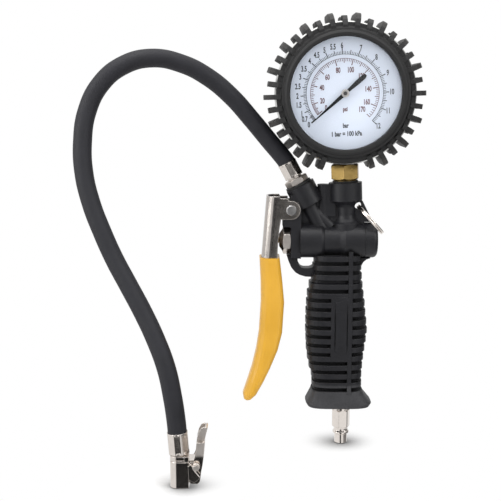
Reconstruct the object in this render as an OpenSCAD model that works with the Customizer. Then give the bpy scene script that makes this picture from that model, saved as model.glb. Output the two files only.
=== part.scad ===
// Portable tire inflator: a hand-held valve body on a ribbed handle, with a dial gauge in a
// rubber boot on top, a trigger lever, and a short hose that ends in a clip-on chuck.
// Millimetres, +Z up, +X from the lever towards the handle, +Y away from the dial's face.
// The origin is the centre of the air plug's tip. The plug and the handle stand on the Z axis.

/* [Handle] */
// Height of the handle's flat lower end
grip_bottom_z = 28.5; // [27:0.5:30]
// Rise from one groove of the handle to the next
groove_pitch = 6.28; // [6:0.02:6.3]
// Height of one groove
groove_h = 2.8; // [2:0.1:3.2]
// Depth of the grooves in the front and back faces
groove_depth = 3.6; // [2:0.1:4.4]

/* [Valve body] */
// Height of the valve's axis
valve_z = 143.6; // [143:0.1:144.4]
// Radius of the valve barrel
barrel_r = 12; // [11.6:0.1:12.4]
// Lean of the gauge towards the lever, in degrees
gauge_lean = 2.4; // [0:0.1:3]
// Angle between the hose port and the vertical
port_angle = 28; // [26:1:30]

/* [Trigger] */
// Height of the trigger's hinge pin
pin_z = 165; // [164:0.1:166]
// Distance of the hinge pin from the handle's axis
pin_x = -36.1; // [-36.6:0.1:-35.6]
// Outer half width of the trigger's channel
lever_half_w = 9.8; // [9.6:0.1:10.2]
// Sheet thickness of the trigger
lever_t = 1.2; // [1:0.1:1.4]

/* [Gauge] */
// Radius of the bezel
bezel_r = 46; // [45:0.1:46.4]
// Radius of the opening in the boot that frames the dial
boot_opening_r = 36.1; // [35:0.1:37]
// Radius over the boot's tall fins
fin_r = 53; // [51:0.5:54]
// Number of fin places round the boot
fin_count = 36; // [36]
// Teeth of the pinion on the pointer's arbor
pinion_teeth = 10; // [10]
// Teeth that the sector gear would have on its whole circle
sector_teeth = 100; // [100]
// Module of the movement's gears
gear_module = 0.3; // [0.3]

/* [Hose and chuck] */
// Outer diameter of the hose
hose_d = 12; // [11.4:0.1:12]
// Outer radius of the crimped ferrules
ferrule_r = 6.45; // [6.3:0.05:6.6]
// Radius of the chuck's mouth
chuck_mouth_r = 4.1; // [4:0.05:4.2]

/* [Hidden] */
$fn = 64;

BLACK = "#2b2b2e";
NICKEL = "#cfc8bf";
STEEL = "#9a9a9c";
BRASS = "#c3a24c";
YELLOW = "#e5ad30";
RUBBER = "#232326";

// ---------------------------------------------------------------- frames

// A frame whose Z axis is the valve's axis, pointing along +X.
module at_valve() translate([0, 0, valve_z]) rotate([0, 90, 0]) children();

// The gauge outlet: Z runs up the outlet's leaning axis, from the foot of its boss.
outlet_foot = [1.1, 0, 170.9];
module at_outlet() translate(outlet_foot) rotate([0, -gauge_lean, 0]) children();

// The gauge: the same axis, from the centre of the dial. Parts turned about Y are drawn on Z.
gauge_rise = 71.4;
module at_gauge() at_outlet() translate([0, 0, gauge_rise]) children();
module about_y() rotate([90, 0, 0]) children();

// The hose port: Z runs out of the port, from the centre of its face.
port_face = [-30.7, 0, 180.6];
module at_port() translate(port_face) rotate([0, -port_angle, 0]) children();

// The chuck: Z runs up its mouth, from the floor. Its stem leans a little.
chuck_foot = [-107.4, -77, 0];
stem_foot = [-0.5, 0, 20.6];
stem_lean = 4.5;
module at_chuck() translate(chuck_foot) children();
module at_stem() at_chuck() translate(stem_foot) rotate([0, -stem_lean, 0]) children();
module at_chuck_pin() at_chuck() translate([chuck_pin[0], 0, chuck_pin[1]]) about_y() children();

// ---------------------------------------------------------------- shared shapes

// A ring between two radii and two heights.
module ring(r_out, r_in, z_low, z_high) {
    translate([0, 0, z_low]) difference() {
        cylinder(r = r_out, h = z_high - z_low);
        translate([0, 0, -1]) cylinder(r = r_in, h = z_high - z_low + 2);
    }
}

// A hexagon bar with turned chamfers, from z_low to z_high; flats is the size across flats.
module hex_bar(flats, z_low, z_high, chamfer = 0.8) {
    corner_r = flats / sqrt(3);
    intersection() {
        translate([0, 0, z_low]) cylinder(r = corner_r, h = z_high - z_low, $fn = 6);
        rotate_extrude() polygon([
            [0, z_low], [corner_r - 2 * chamfer, z_low], [corner_r, z_low + chamfer],
            [corner_r, z_high - chamfer], [corner_r - 2 * chamfer, z_high], [0, z_high]
        ]);
    }
}

// An O-ring: mean radius r, cord radius c, at height z.
module o_ring(r, c, z) translate([0, 0, z]) rotate_extrude() translate([r, 0]) circle(r = c, $fn = 24);

// A superellipse through the four extents, as a list of points.
function oval(x_low, x_high, y_half, power, count = 36) = [
    for (i = [0 : count - 1])
        let (a = 360 * i / count, c = cos(a), s = sin(a))
        [
            (x_low + x_high) / 2 + (x_high - x_low) / 2 * sign(c) * pow(abs(c), 2 / power),
            y_half * sign(s) * pow(abs(s), 2 / power)
        ]
];

function unit(v) = v / norm(v);

// Rings of a tube of radius r along a path, carried along with the least twist.
function first_side(t) = unit(cross(t, abs(t[1]) < 0.9 ? [0, 1, 0] : [1, 0, 0]));
function tangents(path) = [
    for (i = [0 : len(path) - 1])
        unit(path[min(i + 1, len(path) - 1)] - path[max(i - 1, 0)])
];
function carried(t, i) = i == 0 ? [first_side(t[0])]
    : let (before = carried(t, i - 1), last = before[i - 1])
      concat(before, [unit(last - t[i] * (last * t[i]))]);
function tube_points(path, r, sides) =
    let (t = tangents(path), side = carried(t, len(path) - 1))
    [
        for (i = [0 : len(path) - 1]) for (k = [0 : sides - 1])
            let (a = 360 * k / sides)
            path[i] + r * (cos(a) * side[i] + sin(a) * cross(t[i], side[i]))
    ];

// Triangles that join the rings of a tube and close its two ends.
function tube_faces(rings, sides) = concat(
    [
        for (i = [0 : rings - 2]) for (k = [0 : sides - 1])
            [i * sides + k, (i + 1) * sides + k, i * sides + (k + 1) % sides]
    ],
    [
        for (i = [0 : rings - 2]) for (k = [0 : sides - 1])
            [(i + 1) * sides + k, (i + 1) * sides + (k + 1) % sides, i * sides + (k + 1) % sides]
    ],
    [for (k = [1 : sides - 2]) [0, k, k + 1]],
    [for (k = [1 : sides - 2]) let (e = (rings - 1) * sides) [e, e + k + 1, e + k]]
);
module tube(path, r, sides) {
    polyhedron(tube_points(path, r, sides), tube_faces(len(path), sides));
}

// Horizontal outlines joined into one solid, lowest first. They run counterclockwise and have
// the same even count of points; each end is closed by a strip between its two halves.
module stacked(outlines) {
    count = len(outlines[0]);
    points = [for (outline = outlines) for (p = outline) p];
    rings = len(outlines);
    walls = concat(
        [
            for (i = [0 : rings - 2]) for (k = [0 : count - 1])
                [i * count + k, (i + 1) * count + k, i * count + (k + 1) % count]
        ],
        [
            for (i = [0 : rings - 2]) for (k = [0 : count - 1])
                [(i + 1) * count + k, (i + 1) * count + (k + 1) % count, i * count + (k + 1) % count]
        ]
    );
    ends = [
        for (k = [0 : count / 2 - 2])
            each [[k, k + 1, count - 1 - k], [k + 1, count - 2 - k, count - 1 - k]]
    ];
    top = (rings - 1) * count;
    polyhedron(points, concat(walls, ends, [for (f = ends) [top + f[2], top + f[1], top + f[0]]]));
}

// ---------------------------------------------------------------- handle

// Outline of the handle over its height: left and right silhouettes and half depth.
grip_left = [
    [28.5, -24], [30.5, -25.2], [36.5, -22.2], [40, -20.9], [49, -21], [55, -22.8],
    [62, -24.2], [70, -25.2], [82, -25.7], [94, -25.6], [106, -24.9], [113, -23.6],
    [119, -22.1], [134, -20]
];
grip_right = [
    [28.5, 19], [30.5, 20.4], [36.5, 15.4], [40, 13.8], [45, 13.5], [53, 13.6], [62, 14.4], [70, 15.4],
    [80.5, 16.8], [86, 16.5], [94, 15.5], [102, 14.8], [110.5, 13.5], [118.5, 12.7], [134, 11.6]
];
grip_half_depth = [[28.5, 15.5], [40, 12.8], [48, 12.6], [82, 14.8], [119, 13.2], [134, 12.6]];
grip_power = 3.2;
core_inset = 0.7;
first_groove_z = 41;
seam_groove = 12;
grip_top_z = first_groove_z + seam_groove * groove_pitch - groove_h / 2;
neck_bottom_z = grip_top_z + groove_h;
neck_top_z = 134;
spigot_bottom_z = 103;
spigot_r = 9.4;
tube_r = 7.5;
rib_x = [2.7, 5.5];
panel_x = [-8.9, 3.9];
panel_z = [62.4, 106.2];
panel_recess = 0.5;
pad_x = [-5.2, 1.2];
pad_z = [66, 102.6];

function at(table, z) = lookup(z, table);
module grip_slab(z_low, z_high, inset = 0, depth_inset = 0) {
    z = (z_low + z_high) / 2;
    translate([0, 0, z_low]) linear_extrude(z_high - z_low) polygon(oval(
        at(grip_left, z) + inset, at(grip_right, z) - inset, at(grip_half_depth, z) - depth_inset,
        grip_power
    ));
}

// Ribs between the grooves numbered first to last, and the core behind those grooves.
module ribbed(first, last) {
    for (i = [first : last]) {
        groove_z = first_groove_z + i * groove_pitch;
        grip_slab(groove_z - groove_h / 2, groove_z + groove_h / 2, core_inset, groove_depth);
        grip_slab(groove_z + groove_h / 2, groove_z + groove_pitch - groove_h / 2);
    }
}

// An upright bar on both faces, flush with the ribs, from x[0] to x[1] and z_low to z_high.
module face_bar(x, z_low, z_high, recess = 0) {
    steps = ceil((z_high - z_low) / 8);
    heights = [for (i = [0 : steps]) z_low + (z_high - z_low) * i / steps];
    outline = concat(
        [for (z = heights) [at(grip_half_depth, z) - recess, z]],
        [for (i = [steps : -1 : 0]) [-at(grip_half_depth, heights[i]) + recess, heights[i]]]
    );
    translate([x[0], 0, 0]) rotate([90, 0, 90]) linear_extrude(x[1] - x[0]) polygon(outline);
}

// The flared foot of the handle: slanting slabs under the lowest groove.
module grip_flare() {
    z_top = first_groove_z - groove_h / 2;
    levels = [grip_bottom_z, 30.5, 33, 36.5, z_top];
    stacked([
        for (z = levels)
            let (outline = oval(at(grip_left, z), at(grip_right, z), at(grip_half_depth, z), 4))
            [for (p = outline) [p[0], p[1], z]]
    ]);
}

// Cutter for a face's thumb pad, depth into the handle and smaller by inset on every side.
pad_groove_w = 0.7;
module thumb_pad(side, depth, inset) {
    hull() for (x = [pad_x[0] + inset, pad_x[1] - inset], z = [pad_z[0] + inset, pad_z[1] - inset])
        translate([x, side * (grip_half_depth[3][1] + 5 - depth), z])
            rotate([90, 0, 0]) cylinder(r = 1.3, h = 10, center = true, $fn = 24);
}

module handle_grip() {
    color(BLACK) difference() {
        union() {
            grip_flare();
            ribbed(0, seam_groove - 1);
            face_bar(rib_x, 38, grip_top_z);
            face_bar(panel_x, panel_z[0], panel_z[1]);
        }
        for (side = [-1, 1]) {
            thumb_pad(side, panel_recess, 0);
            difference() {
                thumb_pad(side, 2 * panel_recess, 0);
                thumb_pad(side, 3 * panel_recess, pad_groove_w);
            }
        }
        translate([0, 0, grip_bottom_z - 1]) cylinder(r = tube_r + 0.1, h = 90);
        translate([0, 0, spigot_bottom_z - 0.3]) cylinder(r = spigot_r + 0.1, h = 20);
    }
}

// ---------------------------------------------------------------- air inlet

plug_hex_top = 28;
plug_bore_r = 2.6;
plug_bar_r = 6.25;
thread_r = 6.4;
module inlet_tube() {
    color(STEEL) difference() {
        translate([0, 0, plug_hex_top + 1]) cylinder(r = tube_r, h = 101);
        cylinder(r = 4, h = 140);
        translate([0, 0, plug_hex_top]) cylinder(r = thread_r + 0.05, h = 11);
    }
}

// Quick-coupling plug: nose, locking collar, neck, body, hexagon and thread.
module air_plug() {
    color(NICKEL) difference() {
        union() {
            rotate_extrude() polygon([
                [0, 0], [4.4, 0], [4.4, 6.2], [5.1, 6.7], [5.65, 7], [5.65, 8.1], [4.9, 8.9],
                [4.9, 10.2], [5.3, 11], [5.6, 12], [5.6, 24], [thread_r, 24], [thread_r, 38], [0, 38]
            ]);
            rotate([0, 0, 9]) intersection() {
                hex_bar(11.2, 11, 24, 0.9);
                cylinder(r = plug_bar_r, h = 24);
            }
            hex_bar(12.4, 23.8, plug_hex_top, 0.5);
        }
        translate([0, 0, -1]) cylinder(r = plug_bore_r, h = 50);
    }
}
module plug_seal() color(RUBBER) ring(tube_r, thread_r + 0.1, plug_hex_top, plug_hex_top + 1);

// ---------------------------------------------------------------- valve body

plate_x = [-36.3, -29.4];
plate_half_w = 8.3;
barrel_end_x = 13.8;
gland_bore_r = 6.5;
chamber_r = 8.2;
chamber_x = -8;
hinge_r = 2.5;
gallery_x = -14.4;
gallery_z = 165.5;
gallery_boss_r = 3.9;
gallery_top_z = 181.8;
web_half_w = 2.6;
lug_hole = [9.3, 167.4];
lug_hole_r = 2.4;
outlet_thread_r = 5.2;
outlet_boss_r = 11.2;
outlet_tube_r = 6.4;

// A plate in the XZ plane, half_w to each side of y = 0.
module upright_plate(points, half_w) {
    translate([0, half_w, 0]) rotate([90, 0, 0]) linear_extrude(2 * half_w) polygon(points);
}

// The loop between the barrel and the handle: an outer outline less an inner one.
module hang_loop() {
    difference() {
        upright_plate([
            [-36.3, 150], [-36.3, 133.8], [-38.9, 133.6], [-37.6, 129.6], [-35.8, 125.4], [-33, 122],
            [-30, 120.2], [-26, 119], [-21, 118.8], [-18, 119.5], [-18, 134], [-29, 150]
        ], 5);
        upright_plate([
            [-31.6, 132.9], [-31.4, 129.8], [-30.5, 127.2], [-29, 125.4], [-27.2, 124.8], [-23.4, 124.8],
            [-21.4, 125.6], [-20.1, 127.4], [-19.5, 129.8], [-19.5, 132.9]
        ], 20);
    }
}

// The barrel: full radius at both ends, and a waist between them.
waist_r = 10.6;
module barrel() {
    at_valve() rotate_extrude() polygon([
        [0, plate_x[1] - 0.5], [barrel_r, plate_x[1] - 0.5], [barrel_r, -15.6], [11.4, -14.4],
        [waist_r, -13.4], [waist_r, -3.2], [11.2, -1.6], [barrel_r, 0.4], [barrel_r, barrel_end_x],
        [0, barrel_end_x]
    ]);
}

// The gauge's boss: a cone runs down to its tube, and the tube flares out onto the barrel.
module outlet_boss() {
    at_outlet() rotate_extrude() polygon([
        [0, -22], [9.4, -22], [9.4, -15.6], [8, -14.2], [7, -12.4], [outlet_tube_r, -10],
        [outlet_tube_r, -4.4], [7.4, -2.8], [outlet_boss_r, 0], [outlet_boss_r, 12.2], [0, 12.2]
    ]);
}

// The hose port's boss, set a little towards the gauge, and its tube, which bends to the barrel.
module port_boss() {
    at_port() translate([0.6, 0, -14.4]) cylinder(r = 10, h = 14.4);
    at_port() translate([0, 0, -34]) cylinder(r = 5.8, h = 20);
    translate([-22, 0, 165.2]) rotate([0, 135, 0]) cylinder(r = 5, h = 18);
}

module body_solids() {
    barrel();
    upright_plate([
        [plate_x[0], 132.2], [plate_x[1], 131.9], [plate_x[1], 176], [plate_x[0], 174.5],
    ], plate_half_w);
    translate([pin_x, 0, pin_z]) about_y() cylinder(r = 6, h = 2 * plate_half_w, center = true);
    upright_plate([[-36, 153.4], [-41.7, 153.4], [-41.7, 157.6], [-36, 160]], plate_half_w);
    hang_loop();
    outlet_boss();
    port_boss();
    translate([gallery_x, 0, 150]) cylinder(r = gallery_boss_r, h = gallery_top_z - 150);
    upright_plate([[gallery_x, 160], [-6, 160], [-6, gallery_top_z], [gallery_x, gallery_top_z]], 3.4);
    // web that joins them, with the sloping lug on the right
    upright_plate([
        [-36.3, 150], [-36.3, 170], [-24, 174], [-8, 171.5], [9.5, 171.5], [12.3, 170.6],
        [17.8, 159.5], [18.8, 156.2], [13.8, 156.2], [13.8, 150]
    ], web_half_w);
    // gusset under the end cap
    upright_plate([
        [8, 121], [11, 122.8], [11.9, 126], [13.2, 128.7], [15.4, 130.6], [18.2, 131.6], [8, 131.6]
    ], 4);
    // neck under the barrel
    grip_slab(neck_bottom_z, neck_top_z, core_inset, groove_depth);
    for (i = [seam_groove : seam_groove + 2]) {
        z_low = first_groove_z + i * groove_pitch + groove_h / 2;
        grip_slab(z_low, min(z_low + groove_pitch - groove_h, neck_top_z));
    }
    grip_slab(grip_top_z, neck_bottom_z + 0.01, core_inset, groove_depth);
    face_bar(rib_x, grip_top_z, 137);
    translate([0, 0, spigot_bottom_z]) cylinder(r = spigot_r, h = 20);
}

module body_bores() {
    at_valve() translate([0, 0, -37]) cylinder(r = gland_bore_r, h = 35);
    at_valve() translate([0, 0, chamber_x]) cylinder(r = chamber_r, h = 30);
    at_valve() translate([0, 0, barrel_end_x - 1.5]) cylinder(r = 9.9, h = 5);
    translate([0, 0, spigot_bottom_z - 1]) cylinder(r = tube_r + 0.03, h = 28);
    translate([0, 0, 120]) cylinder(r = 4, h = valve_z - 120);
    translate([gallery_x, 0, valve_z]) cylinder(r = 2.1, h = 50);
    translate([-23.6, 0, gallery_z]) rotate([0, 90, 0]) cylinder(r = 1.8, h = 25);
    at_outlet() translate([0, 0, 1]) cylinder(r = outlet_thread_r, h = 20);
    at_outlet() translate([0, 0, -8]) cylinder(r = 2.2, h = 10);
    at_port() translate([0, 0, -11]) cylinder(r = outlet_thread_r, h = 20);
    at_port() translate([0, 0, -19]) cylinder(r = 2.2, h = 10);
    translate([pin_x, 0, pin_z]) about_y() cylinder(r = hinge_r + 0.03, h = 40, center = true);
    translate([lug_hole[0], 0, lug_hole[1]]) about_y() cylinder(r = lug_hole_r, h = 40, center = true);
}
module valve_body() color(BLACK) difference() {
    body_solids();
    body_bores();
}
module gallery_plug() {
    color(STEEL) translate([gallery_x, 0, 176.5]) difference() {
        cylinder(r = 2.06, h = 5);
        translate([0, 0, 3]) cylinder(r = 1.15, h = 3, $fn = 6);
    }
}

// ---------------------------------------------------------------- valve

stem_r = 2;
stem_tip_x = -53.7;
seat_x = [-8, -3.5];
gland_flats = 16.6;
poppet_x = [-1.8, 1.4];
spring_end_x = 12.2;
module gland_nut() {
    color(NICKEL) at_valve() difference() {
        union() {
            hex_bar(gland_flats, -41.6, plate_x[0] - 0.1, 0.6);
            rotate_extrude() polygon([[0, -44], [4.2, -44], [8, -41.5], [0, -41.5]]);
            translate([0, 0, -37]) cylinder(r = gland_bore_r - 0.03, h = 11);
        }
        translate([0, 0, -50]) cylinder(r = stem_r + 0.05, h = 40);
        translate([0, 0, -30]) cylinder(r = 3.7, h = 10);
    }
}
module stem_o_ring() color(RUBBER) at_valve() o_ring(2.85, 0.78, -28.4);

// Push stem with a domed tip, and the poppet turned on its inner end.
module valve_stem() {
    color(BRASS) at_valve() rotate_extrude() polygon([
        [0, stem_tip_x], [0.9, stem_tip_x + 0.1], [1.6, stem_tip_x + 0.6], [stem_r, stem_tip_x + 1.4],
        [stem_r, poppet_x[0]], [6, poppet_x[0]], [6, poppet_x[1]], [2.4, poppet_x[1]],
        [2.4, 5], [0, 5]
    ]);
}
module poppet_seal() color(RUBBER) at_valve() ring(5.6, stem_r, poppet_x[0] - 1.4, poppet_x[0]);
module valve_seat() {
    color(BRASS) at_valve() rotate_extrude() polygon([
        [3.4, seat_x[0]], [chamber_r - 0.02, seat_x[0]], [chamber_r - 0.02, seat_x[1] - 0.8],
        [5, seat_x[1] - 0.8], [4.6, seat_x[1]], [4, seat_x[1]], [3.4, seat_x[1] - 0.8]
    ]);
}

// Valve spring: turns from a formula, squeezed along +X as the stem moves in.
valve_spring_turns = 5;
valve_spring_r = 4.1;
spring_wire_r = 0.5;
function helix(turns, r, z_low, z_high, steps) = [
    for (i = [0 : turns * steps])
        let (a = 360 * i / steps)
        [r * cos(a), r * sin(a), z_low + (z_high - z_low) * i / (turns * steps)]
];
module valve_spring() {
    color(STEEL) at_valve() tube(
        helix(valve_spring_turns, valve_spring_r, poppet_x[1] + 0.6, spring_end_x - 0.6, 8),
        spring_wire_r, 6
    );
}
echo(valve_spring_gap = (spring_end_x - poppet_x[1] - 1.2) / valve_spring_turns - 2 * spring_wire_r);

cap_r = 12;
cap_end_x = 22.5;
cap_round = 3;
module end_cap() {
    color(BLACK) at_valve() difference() {
        rotate_extrude() polygon(concat(
            [[5.4, spring_end_x], [5.4, 7.5], [chamber_r - 0.03, 7.5]],
            [[chamber_r - 0.03, barrel_end_x + 0.1], [cap_r, barrel_end_x + 0.1]],
            [
                for (a = [0 : 15 : 90])
                    [cap_r - cap_round * (1 - cos(a)), cap_end_x - cap_round * (1 - sin(a))]
            ],
            [[0, cap_end_x], [0, spring_end_x]]
        ));
        translate([0, 0, cap_end_x - 4]) cylinder(r = 4.6, h = 10, $fn = 6);
    }
}
module end_cap_seal() color(RUBBER) at_valve() o_ring(9.05, 0.7, barrel_end_x - 0.72);

// ---------------------------------------------------------------- trigger

// Outer edge and free edge of the trigger's channel over its height.
lever_outer = [
    [40, -66.2], [47, -63.8], [55.4, -61], [68, -58.2], [80.4, -56.3], [101.7, -55], [116, -55.2],
    [132.4, -56.1], [174.2, -52.7]
];
lever_free = [
    [40, -61.4], [47, -57], [55.4, -51.7], [68, -46.6], [80.4, -43.6], [101.7, -42.4], [116, -43.6],
    [132.4, -45.4], [142, -45], [152, -44.1], [159, -43], [171, -42.5], [174.2, -43.8]
];
lever_levels = [46, 50, 55.4, 62, 68, 80.4, 91, 101.7, 116, 132.4, 142, 152, 159, 171, 174.2];
lever_corner_r = 6.5;

// Quarter arc about a centre, from angle a to b.
function arc(centre, r, a, b, steps = 6) = [
    for (i = [0 : steps]) let (t = a + (b - a) * i / steps) centre + r * [cos(t), sin(t)]
];
function channel(z) =
    let (x = at(lever_outer, z), e = at(lever_free, z), w = lever_half_w,
         r = min(lever_corner_r, e - x - 0.4), c = x + r, k = r - lever_t)
    concat(
        [[e, w]], arc([c, w - r], r, 90, 180), arc([c, -w + r], r, 180, 270), [[e, -w], [e, -w + lever_t]],
        arc([c, -w + r], k, 270, 180), arc([c, w - r], k, 180, 90), [[e, w - lever_t]]
    );

// One of the two ears that carry the hinge pin, drawn from y_low to y_high.
module lever_ear(y_low, y_high) {
    translate([0, y_high, 0]) rotate([90, 0, 0]) linear_extrude(y_high - y_low) difference() {
        union() {
            translate([pin_x, pin_z]) circle(r = 6.3);
            translate([-46, pin_z - 6.3]) square([46 + pin_x, 12.6]);
            translate([-46, pin_z]) square([8, 7.9]);
        }
        translate([pin_x, pin_z]) circle(r = hinge_r + 0.06);
    }
}
module trigger_lever() {
    color(NICKEL) {
        stacked([for (z = lever_levels) [for (p = channel(z)) [p[0], p[1], z]]]);
        lever_ear(-lever_half_w, -lever_half_w + lever_t);
        lever_ear(lever_half_w - lever_t, lever_half_w);
    }
}

// The dipped sleeve: closed outlines round the lower part of the channel.
sleeve_top_z = 132.4;
sleeve_left = [
    [31, -67], [32.4, -68.2], [36, -68.9], [45, -65.8], [55.4, -62.5], [68, -59.6], [80.4, -57.7],
    [101.7, -56.4], [116, -56.6], [132.4, -57.4]
];
sleeve_right = [
    [31, -65], [32.4, -63.2], [36, -59.6], [45, -54.8], [55.4, -49.9], [68, -44.8], [80.4, -41.8],
    [101.7, -40.5], [116, -41.8], [132.4, -43.7]
];
sleeve_half_w = [[31, 4], [32.4, 7.4], [36, 9.8], [45, 11.1], [133, 11.1]];
sleeve_levels = [31, 32.4, 36, 45, 55.4, 62, 68, 80.4, 91, 101.7, 116, 132.4];
function pad_outline(x_low, x_high, w, r_left, r_right) =
    let (a = min(r_left, w - 0.2, x_high - x_low - 0.5), b = min(r_right, w - 0.2, (x_high - x_low) / 3))
    concat(
        arc([x_high - b, w - b], b, 0, 90, 4), arc([x_low + a, w - a], a, 90, 180),
        arc([x_low + a, -w + a], a, 180, 270), arc([x_high - b, -w + b], b, 270, 360, 4)
    );
function raised(outline, z) = [for (p = outline) [p[0], p[1], z]];
module lever_sleeve() {
    cavity_levels = [45.6, 46, 50, 55.4, 62, 68, 80.4, 91, 101.7, 116, 132.4, 140];
    color(YELLOW) difference() {
        stacked([
            for (z = sleeve_levels) raised(pad_outline(
                at(sleeve_left, z), at(sleeve_right, z), at(sleeve_half_w, z), 7.6, 3.5
            ), z)
        ]);
        stacked([
            for (z = cavity_levels) raised(pad_outline(
                at(lever_outer, z) - 0.15, at(lever_free, z) + 0.15,
                lever_half_w + 0.15, lever_corner_r, 0.3
            ), z)
        ]);
    }
}
module lever_pin() {
    color(STEEL) translate([pin_x, 0, pin_z]) about_y() {
        translate([0, 0, -11.6]) cylinder(r = hinge_r, h = 22);
        translate([0, 0, lever_half_w + 0.12]) rotate_extrude() polygon([
            [0, 0], [3.5, 0], [3.5, 0.8], [2.8, 1.5], [0, 1.5]
        ]);
    }
}
module pin_clip() {
    color(STEEL) translate([pin_x, 0, pin_z]) about_y() difference() {
        ring(4.4, hinge_r, -10.9, -10.1);
        translate([0, -1.5, -12]) cube([8, 3, 4]);
    }
}

// ---------------------------------------------------------------- key ring

// Split ring through the lug: two turns of wire side by side, seen edge-on from the front.
ring_wire_r = 0.7;
ring_r = 12.3;
ring_dir = 47.6;
ring_start = [9.6, 166.8];
module key_ring() {
    color(NICKEL) translate([ring_start[0], 0, ring_start[1]]) rotate([0, ring_dir, 0])
        translate([ring_r, 0, 0]) rotate_extrude() union() {
            for (side = [-1, 1]) translate([ring_r, side * 0.66]) circle(r = ring_wire_r, $fn = 24);
        }
}

// ---------------------------------------------------------------- hose

hose_r = hose_d / 2;
barb_r = 3.1;
module port_washer() color(RUBBER) at_port() ring(9, outlet_thread_r, 0, 1.6);
module barbed_tail(z_low, z_high) {
    teeth = floor((z_high - z_low) / 3);
    rotate_extrude() polygon(concat(
        [[2, z_low]],
        [for (i = [0 : teeth - 1]) each [[barb_r, z_low + 3 * i], [barb_r - 0.6, z_low + 3 * i + 2.9]]],
        [[2, z_low + 3 * teeth - 0.1]]
    ));
}
module hose_adaptor() {
    color(NICKEL) at_port() difference() {
        union() {
            translate([0, 0, -10.5]) cylinder(r = outlet_thread_r - 0.03, h = 13);
            hex_bar(14, 1.6, 5.9, 0.6);
            translate([0, 0, 5]) cylinder(r = 4.9, h = 2);
            barbed_tail(6, 17.5);
        }
        translate([0, 0, -20]) cylinder(r = 2, h = 60);
    }
}

// A crimped ferrule: round at its ends, pressed to eight flats between, open below for a tail.
ferrule_floor = 1.2;
module ferrule(length) {
    difference() {
        union() {
            cylinder(r = ferrule_r, h = 1.4);
            translate([0, 0, length - 1.2]) cylinder(r = ferrule_r, h = 1.2);
            intersection() {
                cylinder(r = ferrule_r + 0.1, h = length);
                rotate([0, 0, 22.5]) cylinder(r = (ferrule_r - 0.2) / cos(22.5), h = length, $fn = 8);
            }
        }
        translate([0, 0, ferrule_floor]) cylinder(r = hose_r + 0.05, h = 20);
        translate([0, 0, -1]) cylinder(r = 5, h = 4);
    }
}
module upper_ferrule() color(NICKEL) at_port() translate([0, 0, 7.1]) ferrule(10.8);
module lower_ferrule() color(NICKEL) at_stem() translate([0, 0, 0.5]) ferrule(13.6);

// The route of the hose, from inside the upper ferrule to inside the lower one.
hose_route = [
    [-34.69, 0, 188.1], [-39.15, 0, 196.49], [-43.9, 0, 202.6], [-50.4, 0, 210.2], [-62.7, -1, 225],
    [-76, -4, 240], [-91, -8, 252.5], [-108, -14, 261.2], [-127, -20, 264.6], [-145, -26, 259.6],
    [-158.6, -30, 248], [-167, -34, 231], [-170, -38, 212], [-168.7, -42, 193], [-164, -46, 174],
    [-157, -50, 156.5], [-149, -54, 139.6], [-139.7, -59, 123.5], [-130.5, -64, 107.5],
    [-122.2, -70, 91.5], [-115.5, -75, 74.7], [-111.7, -77, 57], [-109.8, -77, 43],
    [-108.9, -77, 33], [-108.1, -77, 22.5]
];
module hose() color(RUBBER) tube(hose_route, hose_r, 12);
hose_steps = [for (i = [1 : len(hose_route) - 1]) norm(hose_route[i] - hose_route[i - 1])];
function total(list, i = 0) = i == len(list) ? 0 : list[i] + total(list, i + 1);
echo(hose_length = total(hose_steps));

// ---------------------------------------------------------------- chuck

chuck_r = 6.2;
chuck_corner_r = 4.5;
chuck_h = 20.4;
chuck_pin = [10.4, 15.2];
cheek_y = [6.5, 7.5];
seal_z = [6.4, 11];
seal_pocket_r = 4.7;
disc_pocket_r = 3.8;

// The chuck's outline from above: flat faces, with round corners on the left.
module chuck_plan(x_high, inset) {
    middle = chuck_r - chuck_corner_r;
    for (side = [-1, 1]) translate([-middle, side * middle]) circle(r = chuck_corner_r - inset);
    translate([-chuck_r + inset, -middle]) square([2 * chuck_corner_r, 2 * middle]);
    translate([-middle, -chuck_r + inset]) square([x_high + middle, 2 * (chuck_r - inset)]);
}
module chuck_body() {
    color(NICKEL) difference() {
        union() {
            at_chuck() linear_extrude(chuck_h) chuck_plan(5.6, 0);
            at_chuck() translate([5, -5.2, 8.6]) cube([5.9, 10.4, 9.4]);
            at_chuck_pin() cylinder(r = 2.5, h = 10.4, center = true);
        }
        // fine groove round the top, and the slot in the front
        at_chuck() translate([0, 0, 16.6]) linear_extrude(0.5) difference() {
            circle(r = 30);
            chuck_plan(5.7, 0.3);
        }
        at_chuck() translate([-2.4, -chuck_r - 1, 17.8]) cube([5.4, 1.8, 2]);
        // mouth, window for the jaw, air passage, seat of the hose tail, pin
        at_chuck() translate([0, 0, -1]) cylinder(r = chuck_mouth_r, h = 9);
        at_chuck() translate([0, 0, seal_z[0]]) cylinder(r = seal_pocket_r, h = seal_z[1] - seal_z[0]);
        at_chuck() translate([0, 0, seal_z[1] - 1]) cylinder(r = disc_pocket_r, h = 2);
        at_chuck() translate([0, -2.5, 0.9]) cube([12, 5, 4]);
        at_chuck() translate([0, 0, 5]) cylinder(r = 1.8, h = 14);
        at_stem() translate([0, 0, -6.2]) cylinder(r = 4, h = 12);
        at_chuck_pin() cylinder(r = 1.52, h = 30, center = true);
    }
}
module hose_tail() {
    color(NICKEL) at_stem() difference() {
        union() {
            translate([0, 0, -6]) cylinder(r = 3.97, h = 7);
            translate([0, 0, 0.4]) cylinder(r = 4.9, h = 1.4);
            barbed_tail(1, 12.5);
        }
        translate([0, 0, -10]) cylinder(r = 2, h = 60);
    }
}
module chuck_seal() {
    color(RUBBER) at_chuck() ring(seal_pocket_r - 0.03, 2, seal_z[0] + 0.03, seal_z[1] - 0.03);
}
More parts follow.
